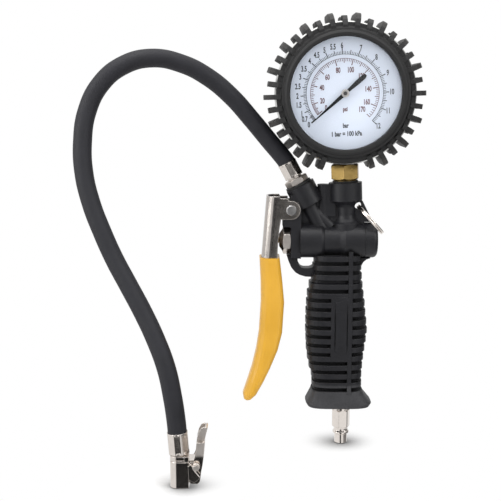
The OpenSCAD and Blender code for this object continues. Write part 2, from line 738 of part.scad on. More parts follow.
module chuck_depressor() {
    color(BRASS) at_chuck() difference() {
        union() {
            translate([0, 0, 7]) cylinder(r = 1, h = 5);
            translate([0, 0, seal_z[1]]) cylinder(r = disc_pocket_r - 0.03, h = 0.97);
        }
        for (a = [45 : 90 : 315]) {
            rotate([0, 0, a]) translate([2.2, 0, 10]) cylinder(r = 0.7, h = 3, $fn = 16);
        }
    }
}

// Clip lever of the chuck: two cheeks outside the body, a thumb piece above and a jaw below.
thumb_back = [
    [12.7, 7], [13.5, 11.5], [14.4, 16.2], [15, 21], [15.3, 27], [15.8, 32], [17.4, 38.2], [16.6, 38.9],
    [15.6, 38.2], [14.8, 32], [14.3, 27], [13.9, 21], [13.5, 16.2], [12.6, 11.5], [11.8, 7]
];
thumb_flange = [
    [9.6, 20.6], [10.2, 24.6], [10.5, 28.7], [10.8, 32], [11.8, 35.6], [13.2, 38], [14.8, 38.9],
    [16.8, 38.6], [15.2, 32], [14.6, 27], [14.4, 20.5]
];
thumb_step_z = 30;
thumb_half_w = 4.6;
cheek = [
    [5.2, 14.6], [5.6, 6], [9, 4.2], [11.9, 6.4], [13.2, 11.5], [14.3, 16.2], [14.9, 21], [9.6, 21],
    [8.6, 18.2], [7.4, 16.6]
];
jaw = [
    [4.4, 2.2], [5.9, 2.2], [6.7, 1.2], [10.9, 1.2], [12.3, 2.8], [13, 7.6], [11.9, 7.6], [10.9, 4.4],
    [9.8, 3.8], [4.4, 3.8]
];

// The thumb piece between two heights: a back and two flanges, half_w to each side.
module thumb_piece(half_w, z_low, z_high) {
    sheet = cheek_y[1] - cheek_y[0];
    intersection() {
        union() {
            upright_plate(thumb_back, half_w);
            for (side = [-1, 1]) {
                translate([0, side * (half_w - sheet / 2), 0]) upright_plate(thumb_flange, sheet / 2);
            }
        }
        translate([0, -half_w, z_low]) cube([30, 2 * half_w, z_high - z_low]);
    }
}
module chuck_lever() {
    color(NICKEL) difference() {
        at_chuck() union() {
            thumb_piece(cheek_y[1], 5, thumb_step_z);
            thumb_piece(thumb_half_w, thumb_step_z - 0.5, 45);
            upright_plate(jaw, 2.1);
            for (side = [-1, 1]) translate([0, side * (cheek_y[0] + cheek_y[1]) / 2, 0])
                upright_plate(cheek, (cheek_y[1] - cheek_y[0]) / 2);
        }
        at_chuck_pin() cylinder(r = 1.56, h = 30, center = true);
    }
}
module chuck_pin() {
    color(STEEL) at_chuck_pin() {
        translate([0, 0, -7.8]) cylinder(r = 1.5, h = 19);
        translate([0, 0, 10.8]) cylinder(r = 1.9, h = 0.8);
        translate([0, 0, -8.6]) cylinder(r = 2.3, h = 1);
    }
}

// Torsion spring on the pin's front end: turns from a formula, with two straight legs.
chuck_spring_r = 2.1;
chuck_wire_r = 0.35;
chuck_spring_turns = 2;
chuck_spring_y = [8, 10.3];
module chuck_spring() {
    count = 8 * chuck_spring_turns;
    rise = chuck_spring_y[1] - chuck_spring_y[0];
    coil = [
        for (i = [0 : count]) let (a = 219 + 45 * i)
            [chuck_spring_r * cos(a), chuck_spring_r * sin(a), chuck_spring_y[0] + rise * i / count]
    ];
    path = concat(
        [[-4.2, 1.8, chuck_spring_y[0]], [-2.6, -0.1, chuck_spring_y[0]]], coil,
        [[-0.4, -2.9, chuck_spring_y[1]], [2.2, -6.2, chuck_spring_y[1]]]
    );
    color(STEEL) at_chuck_pin() tube(path, chuck_wire_r, 6);
}
echo(chuck_spring_gap = (chuck_spring_y[1] - chuck_spring_y[0]) / chuck_spring_turns - 2 * chuck_wire_r);

// ---------------------------------------------------------------- gauge

case_r = 44;
case_y = [-16, 15];
skirt_z = 6.4;
hex_z = [-57.6, -46.6];
module gauge_seal() color(RUBBER) at_outlet() ring(8.6, outlet_thread_r, 12.2, 13.4);
module gauge_socket() {
    color(BRASS) at_gauge() difference() {
        union() {
            translate([0, 0, 2.5 - gauge_rise]) cylinder(r = outlet_thread_r - 0.03, h = 14);
            translate([0, 0, 13.4 - gauge_rise]) cylinder(r = 7.6, h = 1.2);
            rotate([0, 0, 20]) hex_bar(17.6, hex_z[0], hex_z[1], 1.3);
            translate([0, 0, hex_z[1] - 1]) cylinder(r = 6, h = 10);
            translate([-11, -3, -38.5]) cube([19, 12, 14]);
        }
        translate([0, 0, -80]) cylinder(r = 1.5, h = 48);
        about_y() for (x = [-4.5, 4.5]) translate([x, -31, -20]) cylinder(r = 1.25, h = 17);
        about_y() for (x = [-5, 5]) translate([x, -27.5, -2]) cylinder(r = 0.9, h = 10);
    }
}

// Bourdon tube: a flattened tube bent round the case, from the socket to its free tip.
bourdon_r = 31;
bourdon_y = 4;
bourdon_from = 250;
bourdon_sweep = 272;
module stadium(width, height) {
    square([width, height - width], center = true);
    for (side = [-1, 1]) translate([0, side * (height - width) / 2]) circle(r = width / 2, $fn = 32);
}
module bourdon_tube() {
    color(BRASS) at_gauge() translate([0, bourdon_y, 0]) about_y()
        rotate([0, 0, bourdon_from - bourdon_sweep]) rotate_extrude(angle = bourdon_sweep)
            translate([bourdon_r, 0]) difference() {
                stadium(2.8, 9);
                stadium(1.6, 7.8);
            }
}
tip_angle = bourdon_from - bourdon_sweep;
module tube_tip() {
    color(BRASS) at_gauge() {
        translate([0, bourdon_y, 0]) about_y() rotate([0, 0, tip_angle])
            translate([bourdon_r - 2.2, -4, -4.7]) cube([4.4, 5, 9.4]);
        // lug that reaches forward to the link's eye
        gauge_slab([link_y[1] + 0.3, 0]) translate([26.2, -13]) circle(r = 1.6, $fn = 32);
    }
}

// Movement: two plates on pillars, the sector gear, the pinion's arbor and its hairspring.
back_plate_y = [-4, -3];
front_plate_y = [-10, -9];
pinion_pitch_r = gear_module * pinion_teeth / 2;
sector_pitch_r = gear_module * sector_teeth / 2;
sector_z = -(pinion_pitch_r + sector_pitch_r);
pillars = [[-11.5, -3], [11.5, -3], [-8.5, -20.5]];
dial_y = [-12.8, -12.2];
hairspring_y = [-8.9, -8];
arbor_r = 0.75;
plate_outline = [
    [-13.5, -1], [-13.5, -6], [-10.5, -23], [3, -23.5], [13.5, -6], [13.5, -1], [5, 4], [-5, 4]
];

// A slab in the gauge's plane, between two depths y[0] and y[1].
module gauge_slab(y) translate([0, y[1], 0]) about_y() linear_extrude(y[1] - y[0]) children();
module plate_bores(y) {
    translate([0, y[1] + 1, 0]) about_y() cylinder(r = arbor_r + 0.05, h = 3);
    translate([0, y[1] + 1, sector_z]) about_y() cylinder(r = arbor_r + 0.05, h = 3);
}
module movement_back_plate() {
    color(BRASS) at_gauge() difference() {
        union() {
            gauge_slab(back_plate_y) polygon(plate_outline);
            gauge_slab(back_plate_y) translate([-7.5, -31]) square([15, 9]);
            for (p = pillars) translate([p[0], back_plate_y[0] + 0.2, p[1]]) about_y()
                cylinder(r = 1.2, h = back_plate_y[0] - front_plate_y[1] + 0.2);
        }
        plate_bores(back_plate_y);
        for (x = [-5, 5]) translate([x, 0, -27.5]) about_y() cylinder(r = 1.1, h = 10);
    }
}
module movement_front_plate() {
    color(BRASS) at_gauge() difference() {
        union() {
            gauge_slab(front_plate_y) polygon(plate_outline);
            // posts for the dial, and the stud that holds the hairspring's outer end
            gauge_slab([dial_y[1], front_plate_y[1]]) for (p = pillars) {
                translate(p) circle(r = 1.2, $fn = 32);
            }
            gauge_slab([front_plate_y[0], hairspring_y[1]]) translate([7.2, 0]) circle(r = 0.7, $fn = 32);
        }
        plate_bores(front_plate_y);
    }
}
module movement_screws() {
    color(STEEL) at_gauge() for (x = [-5, 5]) translate([x, back_plate_y[0], -27.5]) about_y() {
        cylinder(r = 1.8, h = 1.2);
        translate([0, 0, -5]) cylinder(r = 0.88, h = 5.5);
    }
}

// Gear teeth of a wheel with its centre at the origin: blunt teeth with room for backlash.
module gear_tooth(pitch_r, width) {
    high = 0.8 * gear_module;
    low = 1.1 * gear_module;
    polygon([
        [pitch_r - low, -0.62 * width], [pitch_r, -width / 2], [pitch_r + high, -0.26 * width],
        [pitch_r + high, 0.26 * width], [pitch_r, width / 2], [pitch_r - low, 0.62 * width]
    ]);
}
tooth_w = 0.4 * PI * gear_module;
module pinion_arbor() {
    color(BRASS) at_gauge() about_y() {
        translate([0, 0, 2.6]) cylinder(r = arbor_r, h = 13.2);
        translate([0, 0, -hairspring_y[1]]) cylinder(r = 1.9, h = hairspring_y[1] - hairspring_y[0]);
        translate([0, 0, 5]) linear_extrude(2.6) {
            circle(r = pinion_pitch_r - gear_module, $fn = 32);
            for (i = [0 : pinion_teeth - 1]) rotate(360 * i / pinion_teeth + 90)
                gear_tooth(pinion_pitch_r, tooth_w);
        }
    }
}
sector_y = [-6.8, -5.8];
sector_reach = [-30.6, 5.4];
tail_r = 8;
tail_angle = -45;
module sector_gear() {
    root_r = sector_pitch_r - gear_module;
    step = 360 / sector_teeth;
    color(BRASS) at_gauge() translate([0, 0, sector_z]) {
        translate([0, sector_y[1], 0]) about_y() linear_extrude(sector_y[1] - sector_y[0]) {
            difference() {
                polygon(concat(
                    [[0, 0]],
                    [for (a = [sector_reach[0] : 2 : sector_reach[1]]) root_r * [-sin(a), cos(a)]],
                    [root_r * [-sin(sector_reach[1]), cos(sector_reach[1])]]
                ));
                polygon(concat(
                    [[1.6, 5]], [for (a = [-25 : 5 : 0]) (root_r - 2.4) * [-sin(a), cos(a)]]
                ));
            }
            circle(r = 2.4, $fn = 32);
            for (i = [-8 : 1]) rotate(90 + step * (i + 0.5)) gear_tooth(sector_pitch_r, tooth_w);
            rotate(tail_angle) translate([0, -1]) square([tail_r, 2]);
            rotate(tail_angle) translate([tail_r, 0]) circle(r = 1.3, $fn = 32);
        }
        translate([0, -2.6, 0]) about_y() cylinder(r = arbor_r, h = 7.8);
        rotate([0, -tail_angle, 0]) translate([tail_r, sector_y[0] + 0.2, 0]) about_y()
            cylinder(r = 0.6, h = 1.4);
    }
}

// Link from the sector's tail towards the tube's tip.
link_y = [-7.7, -7];
link_length = 22.5;
link_angle = 24;
module drive_link() {
    color(STEEL) at_gauge() translate([0, 0, sector_z]) rotate([0, -tail_angle, 0])
        translate([tail_r, 0, 0]) rotate([0, tail_angle - link_angle, 0])
            gauge_slab(link_y) difference() {
                union() {
                    translate([0, -0.7]) square([link_length, 1.4]);
                    circle(r = 1.4, $fn = 32);
                    translate([link_length, 0]) circle(r = 1.4, $fn = 32);
                }
                circle(r = 0.65, $fn = 32);
                translate([link_length, 0]) circle(r = 0.65, $fn = 32);
            }
}

// Hairspring: a flat ribbon wound by a formula round the arbor's collet.
hairspring_turns = 3;
function spiral(r0, r1, turns, steps) = [
    for (i = [0 : turns * steps])
        let (a = 360 * i / steps, r = r0 + (r1 - r0) * i / (turns * steps)) r * [cos(a), sin(a)]
];
module hairspring() {
    inner = spiral(2, 6.2, hairspring_turns, 18);
    outer = spiral(2.25, 6.45, hairspring_turns, 18);
    last = len(outer) - 1;
    color(STEEL) at_gauge() gauge_slab(hairspring_y)
        polygon(concat(inner, [for (i = [last : -1 : 0]) outer[i]]));
}

// Pointer: a long taper to the zero mark and a broad tail, on a round hub.
pointer_zero = -129.4;
pointer_y = [-15.6, -15];
module pointer() {
    color(BLACK) at_gauge() {
        gauge_slab(pointer_y) rotate(-pointer_zero) difference() {
            union() {
                polygon([[-0.2, 29], [0.2, 29], [1.3, 1.6], [-1.3, 1.6]]);
                polygon([
                    [-0.9, -1.6], [0.9, -1.6], [1.5, -10], [1.5, -16.2], [0.7, -17.9], [-0.7, -17.9],
                    [-1.5, -16.2], [-1.5, -10]
                ]);
                circle(r = 2.5, $fn = 48);
            }
            circle(r = arbor_r + 0.02, $fn = 32);
        }
        translate([0, pointer_y[0] + 0.1, 0]) about_y() ring(2, arbor_r + 0.02, 0, 0.8);
    }
}
module dial() {
    color("white") at_gauge() gauge_slab(dial_y) difference() {
        circle(r = 40.5, $fn = 128);
        circle(r = 2, $fn = 32);
    }
}

// Case, bezel, lens and gasket: turned parts about the gauge's own axis.
module turned(points) about_y() rotate_extrude($fn = 128) polygon(points);
module gauge_case() {
    color(STEEL) at_gauge() difference() {
        turned([
            [case_r - 1, -case_y[0]], [case_r, -case_y[0]], [case_r, -case_y[1] + 1.5],
            [case_r - 1.5, -case_y[1]], [0, -case_y[1]], [0, -case_y[1] + 1],
            [case_r - 2, -case_y[1] + 1], [case_r - 1, -case_y[1] + 2]
        ]);
        translate([0, 0, -60]) cylinder(r = 6.1, h = 20);
        for (x = [-4.5, 4.5]) translate([x, 20, -31]) about_y() cylinder(r = 1.6, h = 8);
        translate([0, 20, 28]) about_y() cylinder(r = 4, h = 8);
    }
}
module relief_plug() {
    color(RUBBER) at_gauge() translate([0, case_y[1], 28]) about_y() {
        cylinder(r = 3.95, h = 1.6);
        translate([0, 0, -1]) cylinder(r = 5.2, h = 1);
    }
}
module case_screws() {
    color(STEEL) at_gauge() for (x = [-4.5, 4.5]) translate([x, 0, -31]) about_y() {
        translate([0, 0, -16.4]) cylinder(r = 2.8, h = 1.4);
        translate([0, 0, -16]) cylinder(r = 1.22, h = 12);
    }
}
module bezel() {
    color(STEEL) at_gauge() turned([
        [case_r + 0.1, skirt_z], [bezel_r, skirt_z], [bezel_r, 18.6], [bezel_r - 1.4, 20.4], [38.6, 20.4],
        [38.6, 19.5], [case_r + 0.1, 19.5]
    ]);
}
module lens() {
    color("lightblue", 0.35) at_gauge() turned([[0, 17.4], [43.9, 17.4], [43.9, 19.4], [0, 19.4]]);
}
module lens_gasket() {
    color(RUBBER) at_gauge() turned([[40.8, 16], [43.9, 16], [43.9, 17.4], [40.8, 17.4]]);
}

// ---------------------------------------------------------------- boot

fin_t = 3.2;
fin_drop = 1.2;
fin_turn = 0.8;
fin_by_hose = 23;
band_r = 45.4;
boot_back_y = 17.6;
tall_fin = [
    [-21, 41.4], [-23.6, 42], [-24, 44.4], [-22.8, 48.6], [-19.4, 51.6], [-14, 53], [10.6, 53], [14.6, 51.6],
    [16.6, 48.4], [17.3, 44], [17.3, 38], [12, 38]
];
short_fin = [
    [-21, 41.4], [-23.4, 42], [-23.6, 44.4], [-22, 48], [-18, 50.6], [-9, 51], [-7, 48.8], [-1, 48.8],
    [1, 51], [12, 50.8], [15.6, 48.6], [17, 44.4], [17.3, 38], [12, 38]
];
module fin(outline, clock) {
    rotate([0, clock, 0]) translate([-fin_t / 2, 0, 0]) rotate([90, 0, 90])
        linear_extrude(fin_t) polygon([for (p = outline) [p[0], p[1] + (p[1] > 50 ? fin_r - 53 : 0)]]);
}
module rubber_boot() {
    color(RUBBER) at_gauge() difference() {
        union() {
            turned([
                [boot_opening_r, 20.2], [bezel_r - 0.7, 20.2], [bezel_r - 1.2, 21.6], [42.4, 22],
                [41.4, 23.8], [40, 24], [39.6, 24.6], [38.4, 25.2], [boot_opening_r + 0.6, 25],
                [boot_opening_r, 24.2]
            ]);
            turned([
                [34.6, -boot_back_y], [band_r - 1.6, -boot_back_y], [band_r, -boot_back_y + 1.6],
                [band_r, skirt_z + 0.6], [case_r - 1, skirt_z + 0.6], [case_r - 1, -case_y[1] + 0.8],
                [34.6, -case_y[1] + 0.8]
            ]);
            translate([0, 0, -fin_drop]) for (i = [1 : fin_count]) {
                clock = 360 * i / fin_count + fin_turn;
                outline = i % 2 == 1 && i != fin_by_hose ? tall_fin : short_fin;
                if (abs(clock - 180) > 16) fin(outline, clock);
            }
        }
        // room for the bezel, the case and the socket
        turned([
            [0, -case_y[1] - 0.2], [case_r + 0.1, -case_y[1] - 0.2], [case_r + 0.1, skirt_z - 0.3],
            [bezel_r + 0.3, skirt_z - 0.3], [bezel_r + 0.3, 20.6], [0, 20.6]
        ]);
        translate([0, 0, -70]) cylinder(r = 8, h = 30);
    }
}

// ---------------------------------------------------------------- assembly

handle_grip();
valve_body();
inlet_tube();
air_plug();
plug_seal();
gland_nut();
stem_o_ring();
valve_stem();
poppet_seal();
valve_spring();
valve_seat();
end_cap();
end_cap_seal();
gallery_plug();
trigger_lever();
lever_sleeve();
lever_pin();
pin_clip();
key_ring();
port_washer();
hose_adaptor();
upper_ferrule();
hose();
lower_ferrule();
hose_tail();
chuck_body();
chuck_lever();
chuck_pin();
chuck_spring();
chuck_seal();
chuck_depressor();
gauge_seal();
gauge_socket();
bourdon_tube();
tube_tip();
movement_back_plate();
movement_front_plate();
movement_screws();
sector_gear();
drive_link();
pinion_arbor();
hairspring();
pointer();
dial();
gauge_case();
case_screws();
relief_plug();
bezel();
lens();
lens_gasket();
rubber_boot();
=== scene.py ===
"""A portable tire inflator: ribbed handle, trigger, gauge in a rubber boot, hose and chuck."""
import math

import bmesh
import bpy
from mathutils import Matrix, Vector


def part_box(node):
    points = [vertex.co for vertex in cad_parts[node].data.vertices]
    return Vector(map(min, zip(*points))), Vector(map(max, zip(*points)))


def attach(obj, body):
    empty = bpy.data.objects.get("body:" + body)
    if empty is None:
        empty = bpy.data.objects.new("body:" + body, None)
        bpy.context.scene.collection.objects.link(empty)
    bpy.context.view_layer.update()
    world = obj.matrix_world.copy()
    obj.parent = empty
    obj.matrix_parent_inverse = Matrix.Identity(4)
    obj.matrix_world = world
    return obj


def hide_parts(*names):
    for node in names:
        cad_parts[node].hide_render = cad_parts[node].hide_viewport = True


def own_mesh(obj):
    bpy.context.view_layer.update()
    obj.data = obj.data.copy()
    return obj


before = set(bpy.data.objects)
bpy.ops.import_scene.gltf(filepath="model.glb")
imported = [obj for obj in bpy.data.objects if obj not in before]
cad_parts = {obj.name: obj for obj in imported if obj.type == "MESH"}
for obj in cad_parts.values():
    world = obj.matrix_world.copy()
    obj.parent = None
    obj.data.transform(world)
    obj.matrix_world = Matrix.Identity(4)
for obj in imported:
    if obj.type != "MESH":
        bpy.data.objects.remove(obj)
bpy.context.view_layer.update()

# ---------------------------------------------------------------- camera
# A lens of 69 mm, 0.65 m in front of the tool and above its middle, looking a little down.
# Its focal length is given in pixels of a frame 501 pixels wide.
scene = bpy.context.scene
image_width = 501
focal_length_in_pixels = 963
looks_down_degrees = 9.2
camera_data = bpy.data.cameras.new("camera")
camera_data.sensor_width = 36.0
camera_data.lens = 36.0 * focal_length_in_pixels / image_width
camera = bpy.data.objects.new("camera", camera_data)
camera.location = (-0.0635, -0.650, 0.2415)
camera.rotation_euler = (math.radians(90 - looks_down_degrees), 0, 0)
scene.collection.objects.link(camera)
scene.camera = camera
scene.view_settings.view_transform = "Standard"

# ---------------------------------------------------------------- hose
# Smooth-covered air hose, 12 mm over its rubber. It arches from the port to the chuck and is
# crimped into a ferrule at each end. Its route repeats the one that the solids follow.
hose_diameter = 0.012
hose_route = [
    (-0.03469, 0, 0.1881), (-0.03915, 0, 0.19649), (-0.0439, 0, 0.2026), (-0.0504, 0, 0.2102),
    (-0.0627, -0.001, 0.225), (-0.076, -0.004, 0.240), (-0.091, -0.008, 0.2525),
    (-0.108, -0.014, 0.2612), (-0.127, -0.020, 0.2646), (-0.145, -0.026, 0.2596),
    (-0.1586, -0.030, 0.248), (-0.167, -0.034, 0.231), (-0.1697, -0.038, 0.212),
    (-0.1687, -0.042, 0.193), (-0.164, -0.046, 0.174), (-0.157, -0.050, 0.1565),
    (-0.149, -0.054, 0.1396), (-0.1397, -0.059, 0.1235), (-0.1305, -0.064, 0.1075),
    (-0.1222, -0.070, 0.0915), (-0.1155, -0.075, 0.0747), (-0.1117, -0.077, 0.057),
    (-0.1098, -0.077, 0.043), (-0.1089, -0.077, 0.033), (-0.1081, -0.077, 0.0225),
]


class Socket:
    """An output in a node tree. Arithmetic on it adds Math nodes."""

    def __init__(self, tree, output):
        self.tree = tree
        self.output = output

    def make(self, kind, settings=None, inputs=None, output=0):
        """A new node of a kind: its settings first, then its sockets' values or links."""
        node = self.tree.nodes.new(kind)
        for name, value in (settings or {}).items():
            setattr(node, name, value)
        for name, value in (inputs or {}).items():
            if isinstance(value, Socket):
                self.tree.links.new(value.output, node.inputs[name])
            else:
                node.inputs[name].default_value = value
        return Socket(self.tree, node.outputs[output])

    def maths(self, operation, *values):
        """A Math node on these values, in order."""
        return self.make("ShaderNodeMath", {"operation": operation}, dict(enumerate(values)))

    def __add__(self, other):
        return self.maths("ADD", self, other)

    def __sub__(self, other):
        return self.maths("SUBTRACT", self, other)

    def __rsub__(self, other):
        return self.maths("SUBTRACT", other, self)

    def __mul__(self, other):
        return self.maths("MULTIPLY", self, other)

    __radd__ = __add__
    __rmul__ = __mul__

    def step(self, low, high):
        """0 below low and 1 above high, with a smooth change between."""
        settings = {"interpolation_type": "SMOOTHSTEP"}
        ends = {"Value": self, "From Min": low, "From Max": high}
        return self.make("ShaderNodeMapRange", settings, ends)

    def distance(self, point):
        """How far this place is from a point."""
        ends = {0: self, 1: point}
        return self.make("ShaderNodeVectorMath", {"operation": "DISTANCE"}, ends, "Value")

    def axis(self, name):
        """One of this vector's parts: X, Y or Z."""
        return self.make("ShaderNodeSeparateXYZ", {}, {"Vector": self}, name)

    def noise(self, scale, detail=2.0, stretch=(1, 1, 1)):
        """Soft blotches at this place, from 0 to 1, with about scale of them in a metre."""
        place = self.make("ShaderNodeMapping", {}, {"Vector": self, "Scale": stretch})
        inputs = {"Vector": place, "Scale": scale, "Detail": detail}
        return self.make("ShaderNodeTexNoise", {}, inputs, "Fac")

    def blend(self, low, high):
        """A colour that runs from low to high as this goes from 0 to 1."""
        factor, first_colour, second_colour, mixed_colour = 0, 6, 7, 2
        inputs = {factor: self}
        for socket, colour in ((first_colour, low), (second_colour, high)):
            inputs[socket] = colour if isinstance(colour, Socket) else (*colour, 1.0)
        return self.make("ShaderNodeMix", {"data_type": "RGBA"}, inputs, mixed_colour)

    def bump(self, depth, strength, normal=None):
        """A surface that rises and falls with this by depth metres."""
        inputs = {"Height": self, "Distance": depth, "Strength": strength}
        if normal:
            inputs["Normal"] = normal
        return self.make("ShaderNodeBump", {}, inputs)

    def to(self, shader, name):
        """Links this to one of a shader's inputs."""
        self.tree.links.new(self.output, shader.inputs[name])


def new_finish(name, colour, roughness, metallic=0.0):
    """A material, its shader, and the object's own coordinates in metres.

    The colour and roughness are plain ones, which a pattern linked to the shader takes over.
    """
    material = bpy.data.materials.new(name)
    material.use_nodes = True
    shader = material.node_tree.nodes["Principled BSDF"]
    shader.inputs["Base Color"].default_value = (*colour, 1.0)
    shader.inputs["Roughness"].default_value = roughness
    shader.inputs["Metallic"].default_value = metallic
    place = Socket(material.node_tree, None).make("ShaderNodeTexCoord", output="Object")
    return material, shader, place


def cover_rubber():
    """Smooth black rubber, mottled a little by handling."""
    material, shader, place = new_finish("hose_rubber", (0.012, 0.012, 0.015), 0.62)
    shader.inputs["Specular IOR Level"].default_value = 0.3
    grain = place.noise(1500, 3)
    mottle = place.noise(90, 3)
    mottle.blend((0.007, 0.007, 0.009), (0.015, 0.015, 0.019)).to(shader, "Base Color")
    (0.52 + 0.2 * mottle).to(shader, "Roughness")
    grain.bump(0.00012, 0.5).to(shader, "Normal")
    return material


curve = bpy.data.curves.new("hose_cover", "CURVE")
curve.dimensions = "3D"
curve.bevel_depth = hose_diameter / 2
curve.bevel_resolution = 8
curve.resolution_u = 10
spline = curve.splines.new("BEZIER")
spline.bezier_points.add(len(hose_route) - 1)
for point, place in zip(spline.bezier_points, hose_route):
    point.co = place
    point.handle_left_type = point.handle_right_type = "AUTO"
curve.materials.append(cover_rubber())
hose = bpy.data.objects.new("hose_cover", curve)
scene.collection.objects.link(hose)
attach(hose, "inflator")
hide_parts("hose")

# ---------------------------------------------------------------- floor and light
# A white table that keeps the tool's shadow only round the plug and the chuck, and is pure
# white beyond. Four soft lamps light the tool. In mirrored light the room is white, brighter
# overhead, with a dark opening in front and a dim side on the right, and the table is left out.
table_half = 3.0
table_top = -0.0004
plug_shadow = {"middle": (0, -0.002, 0), "dark": 0.0, "gone": 0.031}
chuck_shadow = {"middle": (-0.124, -0.087, 0), "dark": 0.010, "gone": 0.056}
contact_reach, contact_depth = 0.032, 2.3


def table_white():
    """Matte white, with painted contact shade where the tool stands close over it, and glowing white
    beyond.
    """
    material = bpy.data.materials.new("table_white")
    material.use_nodes = True
    tree = material.node_tree
    tree.nodes.remove(tree.nodes["Principled BSDF"])
    seen = Socket(tree, None).make("ShaderNodeLightPath", output="Is Camera Ray")
    mirrored = seen.make("ShaderNodeLightPath", output="Is Glossy Ray")
    place = seen.make("ShaderNodeTexCoord", output="Object")
    past_plug, past_chuck = [
        place.distance(pool["middle"]).step(pool["dark"], pool["gone"])
        for pool in (plug_shadow, chuck_shadow)
    ]
    lit = seen.make("ShaderNodeBsdfDiffuse", {}, {"Color": (0.80, 0.80, 0.80, 1)})
    glow = seen.make("ShaderNodeEmission", {}, {"Color": (1, 1, 1, 1), "Strength": 0.30})
    white = seen.make("ShaderNodeEmission", {}, {"Color": (1, 1, 1, 1), "Strength": 1.0})
    # Ambient occlusion mixes the table toward black near the tool: painted contact shade.
    reach = {"Distance": contact_reach}
    open_sky = seen.make("ShaderNodeAmbientOcclusion", {"samples": 8}, reach, "AO")
    contact = open_sky.maths("POWER", open_sky, contact_depth)
    bright = seen.make("ShaderNodeAddShader", {}, {0: lit, 1: glow})
    dark = seen.make("ShaderNodeEmission", {}, {"Strength": 0.0})
    near = seen.make("ShaderNodeMixShader", {}, {0: contact, 1: dark, 2: bright})
    backdrop = seen.make("ShaderNodeMixShader", {}, {0: past_plug * past_chuck, 1: near, 2: white})
    plain = seen.make("ShaderNodeMixShader", {}, {0: seen, 1: lit, 2: backdrop})
    clear = seen.make("ShaderNodeBsdfTransparent")
    seen.make("ShaderNodeMixShader", {}, {0: mirrored, 1: plain, 2: clear}).to(
        tree.nodes["Material Output"], "Surface"
    )
    return material


mesh = bpy.data.meshes.new("table")
corners = [(-1, -1), (1, -1), (1, 1), (-1, 1)]
mesh.from_pydata([(x * table_half, y * table_half, table_top) for x, y in corners], [], [(0, 1, 2, 3)])
mesh.materials.append(table_white())
table = bpy.data.objects.new("table", mesh)
scene.collection.objects.link(table)

world = bpy.data.worlds.new("studio")
world.use_nodes = True
scene.world = world
seen = Socket(world.node_tree, None).make("ShaderNodeLightPath", output="Is Camera Ray")
mirrored = seen.make("ShaderNodeLightPath", output="Is Glossy Ray")
toward = seen.make("ShaderNodeTexCoord", output="Generated")
across = toward.axis("X")
in_front = (0 - toward.axis("Y")).step(0.72, 0.82)
opening = across.step(-0.36, -0.26) * (1 - across.step(0.06, 0.14)) * in_front
dim_side = across.step(0.55, 0.80)
overhead = toward.axis("Z").step(0.45, 0.85)
room = 0.95 - 0.93 * opening - 0.72 * dim_side + 0.8 * overhead
soft_light = 0.55
around = mirrored * room + (1 - mirrored) * soft_light
strength = seen.maths("MAXIMUM", seen, around)
seen.make("ShaderNodeBackground", {}, {"Color": (1, 1, 1, 1), "Strength": strength}).to(
    world.node_tree.nodes["World Output"], "Surface"
)


def lamp(name, at, aim, size, power, in_mirrors=True):
    """A soft rectangle of light, size in metres and power in watts."""
    data = bpy.data.lights.new(name, "AREA")
    data.shape = "RECTANGLE"
    data.size, data.size_y = size
    data.energy = power
    light = bpy.data.objects.new(name, data)
    light.location = at
    light.rotation_euler = (Vector(aim) - Vector(at)).to_track_quat("-Z", "Y").to_euler()
    light.visible_glossy = in_mirrors
    scene.collection.objects.link(light)


middle = (-0.05, -0.02, 0.14)
lamp("lamp_left", (-0.95, -0.45, 0.55), middle, (0.5, 1.0), 7)
lamp("lamp_right", (0.85, -0.60, 0.60), middle, (0.35, 0.8), 4)
lamp("lamp_top", (-0.05, -0.25, 1.15), middle, (0.9, 0.6), 7)
lamp("lamp_front", (-0.1, -1.3, 0.45), (0, 0, 0.20), (0.8, 0.8), 8, in_mirrors=False)

# ---------------------------------------------------------------- air plug
# Quick-coupling plug turned from steel bar and nickel plated: nose, collar, neck, body,
# hexagon. Its thread goes up into the inlet tube, over a flat seal.
millimetre = 0.001


def grained(shader, height, depth, strength, edge_width):
    """Bumps a surface by a height, over edges that look rounded edge_width metres wide."""
    edge = height.make("ShaderNodeBevel", {"samples": 4}, {"Radius": edge_width})
    height.bump(depth, strength, edge).to(shader, "Normal")


def nickel_plate(name="nickel_plate", gloss=0.08, edge_width=0.00035, satin_above=None, tone=1.0):
    """Warm nickel over turned steel: cloudy gloss, a few faint smears, satin above a height."""
    material, shader, place = new_finish(name, (0.70, 0.65, 0.61), 0.2, 1.0)
    cloud = place.noise(260, 3)
    smear = place.noise(90, 4, (1, 1, 0.3)).step(0.55, 0.75)
    roughness = gloss + 0.12 * cloud + 0.10 * smear
    if satin_above:
        fade = 1.5 * millimetre
        roughness += 0.25 * place.axis("Z").step(satin_above - fade, satin_above + fade)
    roughness.to(shader, "Roughness")
    dull = [tone * part for part in (0.64, 0.59, 0.55)]
    bright = [tone * part for part in (0.76, 0.71, 0.665)]
    cloud.blend(dull, bright).to(shader, "Base Color")
    grained(shader, place.noise(1400, 2), 0.00004, 0.3, edge_width)
    return material


def black_rubber():
    """Moulded rubber: matte black, greyer in places from handling, with a fine grain."""
    material, shader, place = new_finish("black_rubber", (0.018, 0.018, 0.019), 0.6)
    shader.inputs["Specular IOR Level"].default_value = 0.35
    cloud = place.noise(160, 4)
    cloud.blend((0.006, 0.006, 0.0065), (0.015, 0.0145, 0.0145)).to(shader, "Base Color")
    (0.50 + 0.22 * cloud).to(shader, "Roughness")
    grained(shader, place.noise(1300, 3), 0.0001, 0.35, 0.0005)
    return material


def dress(material, *nodes):
    """Gives solids their finish, in all their slots."""
    for node in nodes:
        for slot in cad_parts[node].material_slots:
            slot.material = material


nickel = nickel_plate(tone=1.1)
rubber = black_rubber()
dress(nickel, "air_plug")
dress(rubber, "plug_seal")

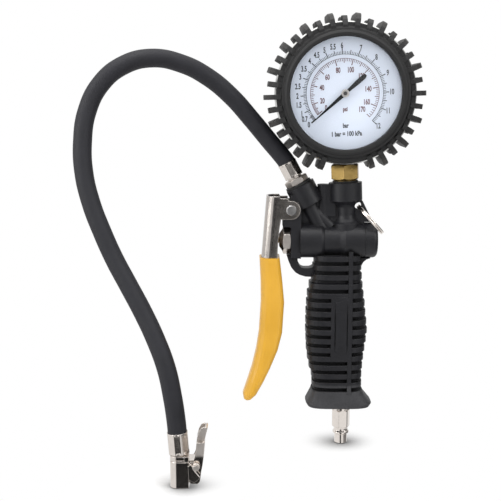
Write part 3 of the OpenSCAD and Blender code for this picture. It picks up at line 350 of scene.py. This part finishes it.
# ---------------------------------------------------------------- handle
# Moulded in charcoal plastic with a fine satin skin: stacked ribs, a bar down each face and a
# smooth thumb panel. The steel inlet tube inside clamps it to the valve body.
foot_height = 15.5 * millimetre
foot_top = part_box("handle_grip")[0][2] + foot_height
groove_shade_reach = 0.004


def charcoal_plastic():
    """Satin plastic: slightly bluish, deep black in its grooves by painted shade, rougher at its foot
    and greyer there by painted sheen.
    """
    material, shader, place = new_finish("charcoal_plastic", (0.012, 0.012, 0.014), 0.45)
    shader.inputs["Specular IOR Level"].default_value = 0.36
    cloud = place.noise(120, 4)
    # Ambient occlusion over the piece itself paints shade into its grooves: near-black colour and more
    # roughness where the surface closes in.
    settings = {"samples": 6, "only_local": True}
    open_skin = place.make("ShaderNodeAmbientOcclusion", settings, {"Distance": groove_shade_reach}, "AO")
    painted_groove_shade = 1 - open_skin.step(0.42, 0.88)
    # At the foot the skin is rougher with a coarser grain, and its lighter colour is painted sheen of
    # light from above.
    foot = 1 - place.axis("Z").step(foot_top - millimetre, foot_top + millimetre)
    skin = cloud.blend((0.0040, 0.0040, 0.0052), (0.0090, 0.0090, 0.0115))
    foot_skin_and_sheen = cloud.blend((0.013, 0.013, 0.0145), (0.035, 0.035, 0.038))
    painted_groove_shade.blend(foot.blend(skin, foot_skin_and_sheen), (0.0012, 0.0012, 0.0015)).to(shader, "Base Color")
    (0.36 + 0.16 * cloud + 0.14 * foot + 0.45 * painted_groove_shade).to(shader, "Roughness")
    grained(shader, place.noise(1500, 3) + 2.2 * foot * place.noise(520, 2), 0.00012, 0.55, 0.0006)
    return material


def turned_steel():
    """Bare steel: cloudy, from dark grey to bright."""
    material, shader, place = new_finish("steel", (0.42, 0.42, 0.43), 0.3, 1.0)
    cloud = place.noise(300, 3)
    (0.22 + 0.2 * cloud).to(shader, "Roughness")
    cloud.blend((0.26, 0.26, 0.265), (0.56, 0.55, 0.54)).to(shader, "Base Color")
    grained(shader, place.noise(1100, 3), 0.00008, 0.4, 0.0003)
    return material


charcoal = charcoal_plastic()
steel = turned_steel()
dress(charcoal, "handle_grip")
dress(steel, "inlet_tube")

# ---------------------------------------------------------------- valve body
# One moulding in the same plastic: barrel, plate, bosses, web with its lug, hanging loop and
# neck. A small steel plug closes its drilled gallery.
dress(charcoal, "valve_body")
dress(steel, "gallery_plug")

# ---------------------------------------------------------------- valve
# Brass push stem that slides in a plated gland nut, with a poppet that closes on a brass seat.
# A steel spring in the end cap holds it shut, and grows shorter as the stem goes in.


def turned_brass():
    """Brass bar: cloudy gloss and a slightly tarnished colour."""
    material, shader, place = new_finish("brass", (0.42, 0.29, 0.10), 0.25, 1.0)
    cloud = place.noise(240, 3)
    (0.20 + 0.2 * cloud).to(shader, "Roughness")
    cloud.blend((0.30, 0.20, 0.06), (0.42, 0.29, 0.11)).to(shader, "Base Color")
    grained(shader, place.noise(900, 3), 0.00008, 0.4, 0.0004)
    return material


brass = turned_brass()
satin_nickel = nickel_plate("satin_nickel", 0.30, 0.0005)
dress(satin_nickel, "gland_nut")
dress(brass, "valve_stem", "valve_seat")
dress(rubber, "stem_o_ring", "poppet_seal", "end_cap_seal")
dress(charcoal, "end_cap")
dress(steel, "valve_spring")
coils = bpy.data.objects.new("valve_spring_coils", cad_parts["valve_spring"].data.copy())
scene.collection.objects.link(coils)
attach(coils, "inflator")
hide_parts("valve_spring")
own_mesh(coils)

# ---------------------------------------------------------------- trigger
# A channel pressed from steel and plated. It turns on a steel pin that a clip holds, and its
# back pushes on the valve stem. Its lower two thirds are dipped in yellow vinyl.


def dipped_vinyl():
    """Thick glossy dip, a little uneven in colour and skin."""
    material, shader, place = new_finish("yellow_vinyl", (0.53, 0.28, 0.02), 0.3)
    cloud = place.noise(60, 4)
    cloud.blend((0.47, 0.245, 0.014), (0.58, 0.31, 0.024)).to(shader, "Base Color")
    (0.24 + 0.14 * cloud).to(shader, "Roughness")
    place.noise(420, 3).bump(0.00012, 0.4).to(shader, "Normal")
    return material


# The lever's nickel is a darker copy (tone 0.66): painted shade that dims the lamps' reflections in
# it.
dress(nickel_plate("lever_nickel_painted_dim", 0.12, 0.0009, tone=0.66), "trigger_lever")
dress(dipped_vinyl(), "lever_sleeve")
dress(steel, "lever_pin", "pin_clip")

# ---------------------------------------------------------------- key ring
# Split ring of spring wire, nickel plated and wound through the lug in the body's web, where
# it hangs free.
dress(nickel, "key_ring")

# ---------------------------------------------------------------- hose fittings
# A plated steel adaptor screws into the port on a rubber washer. At each end of the hose a
# thin plated ferrule is crimped into flats over it, and a barbed tail holds the chuck.
dress(rubber, "port_washer")
dress(satin_nickel, "hose_adaptor")
dress(nickel_plate("crimped_nickel", 0.16), "upper_ferrule", "lower_ferrule", "hose_tail")

# ---------------------------------------------------------------- chuck
# Clip-on chuck cast in zinc and nickel plated. Its pressed lever turns on a pin against a
# torsion spring and grips the tyre valve, and a brass depressor in the seal opens it.
dress(nickel_plate("cast_nickel", 0.08), "chuck_body")
dress(nickel_plate("pressed_nickel", 0.08, satin_above=0.021), "chuck_lever")
dress(satin_nickel, "chuck_pin", "chuck_spring")
dress(rubber, "chuck_seal")
dress(brass, "chuck_depressor")

# ---------------------------------------------------------------- gauge socket and movement
# Brass socket with its hexagon, which feeds the Bourdon tube. The tube's tip pulls a link, and
# a toothed sector and a pinion between two plates turn the pointer against a hairspring.
dress(rubber, "gauge_seal")
dress(brass, "gauge_socket", "bourdon_tube", "tube_tip", "movement_back_plate",
      "movement_front_plate", "sector_gear", "pinion_arbor")
dress(steel, "movement_screws", "drive_link", "hairspring", "case_screws")

# ---------------------------------------------------------------- dial
# White enamelled disc, printed with an outer scale in black and an inner one in dark red. It
# leans to the left with the gauge.
dial_low, dial_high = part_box("dial")
dial_lean = math.radians(-2.4)
dial_middle_x, dial_middle_z = [(dial_low[k] + dial_high[k]) / 2 for k in (0, 2)]
dial_centre = Vector((dial_middle_x, dial_low[1], dial_middle_z))
print_lift = 0.03 * millimetre


def dial_enamel():
    """Cool white enamel, very slightly cloudy."""
    material, shader, place = new_finish("dial_enamel", (0.60, 0.63, 0.70), 0.4)
    cloud = place.noise(40, 3)
    cloud.blend((0.585, 0.615, 0.685), (0.625, 0.655, 0.725)).to(shader, "Base Color")
    (0.34 + 0.12 * cloud).to(shader, "Roughness")
    return material


def dial_ink(name, colour, worn):
    """Printing ink: thinner in places, so the enamel lightens it."""
    material, shader, place = new_finish(name, colour, 0.5)
    place.noise(900, 2).blend(colour, worn).to(shader, "Base Color")
    return material


def on_dial(clock, radius):
    """A place in the dial's plane, clock degrees from the top, radius in millimetres."""
    turn = math.radians(clock)
    return Vector((radius * math.sin(turn), radius * math.cos(turn))) * millimetre


def dial_frame():
    """The dial's plane, just above its enamel, with X to the right and Y up."""
    face = Matrix.Translation(dial_centre - Vector((0, print_lift, 0)))
    return face @ Matrix.Rotation(dial_lean, 4, "Y") @ Matrix.Rotation(math.radians(90), 4, "X")


def between(table, value):
    """The clock angle of a value, by straight lines through a scale's numbered marks."""
    for (a, clock_a), (b, clock_b) in zip(table, table[1:]):
        if value <= b:
            break
    return clock_a + (clock_b - clock_a) * (value - a) / (b - a)


def stroke(work, start, end, width):
    """A straight printed line as one flat face, width in millimetres."""
    side = (end - start).orthogonal().normalized() * width * millimetre / 2
    corners = (start - side, end - side, end + side, start + side)
    work.faces.new([work.verts.new((*corner, 0)) for corner in corners])


def printed_scale(name, material, table, radius, direction, marks):
    """An arc with ticks: marks is a list of (step, tick length, width), the finest first."""
    work = bmesh.new()
    (lowest, first), (highest, last) = table[0], table[-1]
    arc_steps, arc_width = 120, 0.3
    turns = [first + (last - first) * i / arc_steps for i in range(arc_steps + 1)]
    for a, b in zip(turns, turns[1:]):
        stroke(work, on_dial(a, radius), on_dial(b, radius), arc_width)
    finest = marks[0][0]
    for i in range(round((highest - lowest) / finest) + 1):
        value = lowest + i * finest
        length, width = max(
            (length, width) for step, length, width in marks
            if abs(value / step - round(value / step)) < 0.001
        )
        clock = between(table, value)
        stroke(work, on_dial(clock, radius), on_dial(clock, radius + direction * length), width)
    mesh = bpy.data.meshes.new(name)
    work.to_mesh(mesh)
    work.free()
    mesh.materials.append(material)
    piece = bpy.data.objects.new(name, mesh)
    piece.matrix_world = dial_frame()
    scene.collection.objects.link(piece)
    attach(piece, "inflator")


def printed_text(name, material, words, place, height, narrow=0.7):
    """Flat printed characters, height in millimetres, each narrowed to a share of its width."""
    font_size_per_height = 1.42
    ink_spread = 0.16 * millimetre
    letters = bpy.data.curves.new(name, "FONT")
    letters.body = words
    letters.align_x = letters.align_y = "CENTER"
    letters.size = height * font_size_per_height * millimetre
    letters.offset = ink_spread
    letters.resolution_u = 3
    letters.materials.append(material)
    piece = bpy.data.objects.new(name, letters)
    shrink = Matrix.Diagonal((narrow, 1, 1, 1))
    piece.matrix_world = dial_frame() @ Matrix.Translation((*place, 0)) @ shrink
    scene.collection.objects.link(piece)
    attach(piece, "inflator")


dress(dial_enamel(), "dial")
black_ink = dial_ink("black_ink", (0.008, 0.008, 0.010), (0.022, 0.022, 0.026))
red_ink = dial_ink("red_ink", (0.075, 0.016, 0.016), (0.13, 0.04, 0.038))
# Each scale's numbers, with their places in clock degrees from the top.
outer_scale = [(0, -129), (0.7, -120.5), (1, -113.3), (1.5, -102), (2, -91.2), (2.5, -79.7), (3, -68),
               (3.5, -57.5), (4, -46), (4.5, -35), (5, -24), (5.5, -13), (6, -2), (7, 21.5), (8, 43.5),
               (9, 67), (10, 90.5), (11, 114), (12, 136)]
inner_scale = [(0, -125.6), (20, -106.3), (40, -74.5), (60, -46), (80, -15), (100, 15.5), (120, 46.6),
               (140, 82), (160, 114), (170, 135)]
# Each scale's marks, and the radii and heights of its print, in millimetres.
outer_marks = [(0.1, 1.9, 0.36), (0.5, 2.8, 0.5), (1, 3.8, 0.6)]
inner_marks = [(2, 1.9, 0.36), (10, 2.8, 0.5), (20, 4.0, 0.6)]
outer_arc, inner_arc = 25.2, 22.5
left_numbers, right_numbers, inner_numbers = 31, 30.7, 15.4
outer_height, inner_height = 3.5, 3.4
last_left_number = 4
number_narrow = 0.62
outward, inward = 1, -1
printed_scale("outer_scale", black_ink, outer_scale, outer_arc, outward, outer_marks)
printed_scale("inner_scale", red_ink, inner_scale, inner_arc, inward, inner_marks)
for value, clock in outer_scale:
    words = f"{value:g}"
    place = on_dial(clock, left_numbers if value <= last_left_number else right_numbers)
    printed_text("outer_" + words, black_ink, words, place, outer_height, number_narrow)
for value, clock in inner_scale:
    words = f"{value:g}"
    place = on_dial(clock, inner_numbers)
    printed_text("inner_" + words, red_ink, words, place, inner_height, number_narrow)
printed_text("inner_unit", red_ink, "psi", Vector((0, -10.3)) * millimetre, 2.8)
printed_text("outer_unit", black_ink, "bar", Vector((0, -21)) * millimetre, 2.9)
unit_place = Vector((0.4, -26.4)) * millimetre
printed_text("unit_line", black_ink, "1 bar = 100 kPa", unit_place, 3.0, 0.74)

# ---------------------------------------------------------------- pointer
# Needle cut from sheet and enamelled black, pressed on the pinion's arbor. Its bright turned
# hub stands round the end of the arbor, coloured dark as a painted reflection.


def pointer_enamel():
    """Flat black enamel."""
    material, shader, place = new_finish("pointer_enamel", (0.003, 0.003, 0.003), 0.4)
    shader.inputs["Specular IOR Level"].default_value = 0.2
    cloud = place.noise(300, 3)
    (0.34 + 0.16 * cloud).to(shader, "Roughness")
    return material


def turned_piece(name, profile, sides=48):
    """A mesh turned about its own Z axis from (radius, height) pairs in millimetres."""
    work = bmesh.new()
    rings = []
    for radius, height in profile:
        turns = [math.tau * k / sides for k in range(sides)]
        points = [(radius * math.cos(t), radius * math.sin(t), height) for t in turns]
        rings.append([work.verts.new(Vector(p) * millimetre) for p in points])
    for low, high in zip(rings, rings[1:]):
        for k in range(sides):
            work.faces.new((low[k], low[(k + 1) % sides], high[(k + 1) % sides], high[k]))
    work.faces.new(reversed(rings[0]))
    work.faces.new(rings[-1])
    mesh = bpy.data.meshes.new(name)
    work.to_mesh(mesh)
    work.free()
    mesh.polygons.foreach_set("use_smooth", [True] * len(mesh.polygons))
    mesh.set_sharp_from_angle(angle=math.radians(30))
    return bpy.data.objects.new(name, mesh)


dress(pointer_enamel(), "pointer")
hub_profile = [(2.0, 0), (2.6, 0.1), (2.6, 0.55), (2.35, 0.8), (1.75, 0.8), (1.5, 0.4), (0.1, 0.4)]
arbor_profile = [(1.25, 0.42), (1.2, 0.7), (0.7, 0.95), (0.1, 1.0)]
pointer_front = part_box("pointer")[0][1]
hub_place = Matrix.Translation((dial_centre.x, pointer_front, dial_centre.z))
hub_pieces = [
    ("pointer_hub", hub_profile, satin_nickel),
    # The arbor's end is nickel darkened to near black: a painted dark reflection.
    ("arbor_end", arbor_profile, nickel_plate("arbor_painted_dark", 0.25, tone=0.16)),
]
for name, profile, finish in hub_pieces:
    piece = turned_piece(name, profile)
    piece.matrix_world = hub_place @ Matrix.Rotation(math.radians(90), 4, "X")
    piece.data.materials.append(finish)
    scene.collection.objects.link(piece)
    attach(piece, "pointer")

# ---------------------------------------------------------------- case, bezel and lens
# Case pressed from zinc-plated steel, and a rolled bezel that holds the flat clear lens on
# its gasket. A rubber plug closes the hole in the case's back.


def zinc_plate():
    """Bright zinc on pressed steel."""
    material, shader, place = new_finish("zinc_plate", (0.62, 0.62, 0.61), 0.28, 1.0)
    cloud = place.noise(200, 3)
    (0.2 + 0.18 * cloud).to(shader, "Roughness")
    cloud.blend((0.58, 0.58, 0.57), (0.70, 0.70, 0.68)).to(shader, "Base Color")
    return material


def clear_lens():
    """Thin flat glass: nearly all the light goes straight through, a little is mirrored."""
    material, shader, place = new_finish("clear_lens", (1, 1, 1), 0.03, 1.0)
    tree = material.node_tree
    clear = place.make("ShaderNodeBsdfTransparent", {}, {"Color": (0.98, 0.99, 1, 1)})
    sheen = Socket(tree, shader.outputs[0])
    place.make("ShaderNodeMixShader", {}, {0: 0.03, 1: clear, 2: sheen}).to(
        tree.nodes["Material Output"], "Surface"
    )
    return material


zinc = zinc_plate()
dress(zinc, "bezel", "gauge_case")
dress(clear_lens(), "lens")
dress(rubber, "lens_gasket", "relief_plug")

# ---------------------------------------------------------------- boot
# Black rubber boot stretched over the case: a lip round the lens, and fins all round. The
# fins' outer ends are greyer, between two distances from the dial's axis.
fins_black_within, fins_grey_beyond = 0.0455, 0.0515


def boot_rubber():
    """Moulded rubber: black, greyer on the outer ends of its fins."""
    material, shader, place = new_finish("boot_rubber", (0.02, 0.02, 0.02), 0.6)
    shader.inputs["Specular IOR Level"].default_value = 0.35
    settings = {"operation": "MULTIPLY"}
    flat = place.make("ShaderNodeVectorMath", settings, {0: place, 1: (1, 0, 1)}, "Vector")
    outer_ends = flat.distance((dial_centre.x, 0, dial_centre.z)).step(fins_black_within, fins_grey_beyond)
    cloud = place.noise(160, 4)
    inner_black = cloud.blend((0.005, 0.005, 0.0055), (0.012, 0.0118, 0.0118))
    outer_grey = cloud.blend((0.010, 0.0095, 0.009), (0.034, 0.032, 0.030))
    outer_ends.blend(inner_black, outer_grey).to(shader, "Base Color")
    (0.46 + 0.24 * cloud).to(shader, "Roughness")
    grained(shader, place.noise(1300, 3), 0.0001, 0.35, 0.0005)
    return material


dress(boot_rubber(), "rubber_boot")
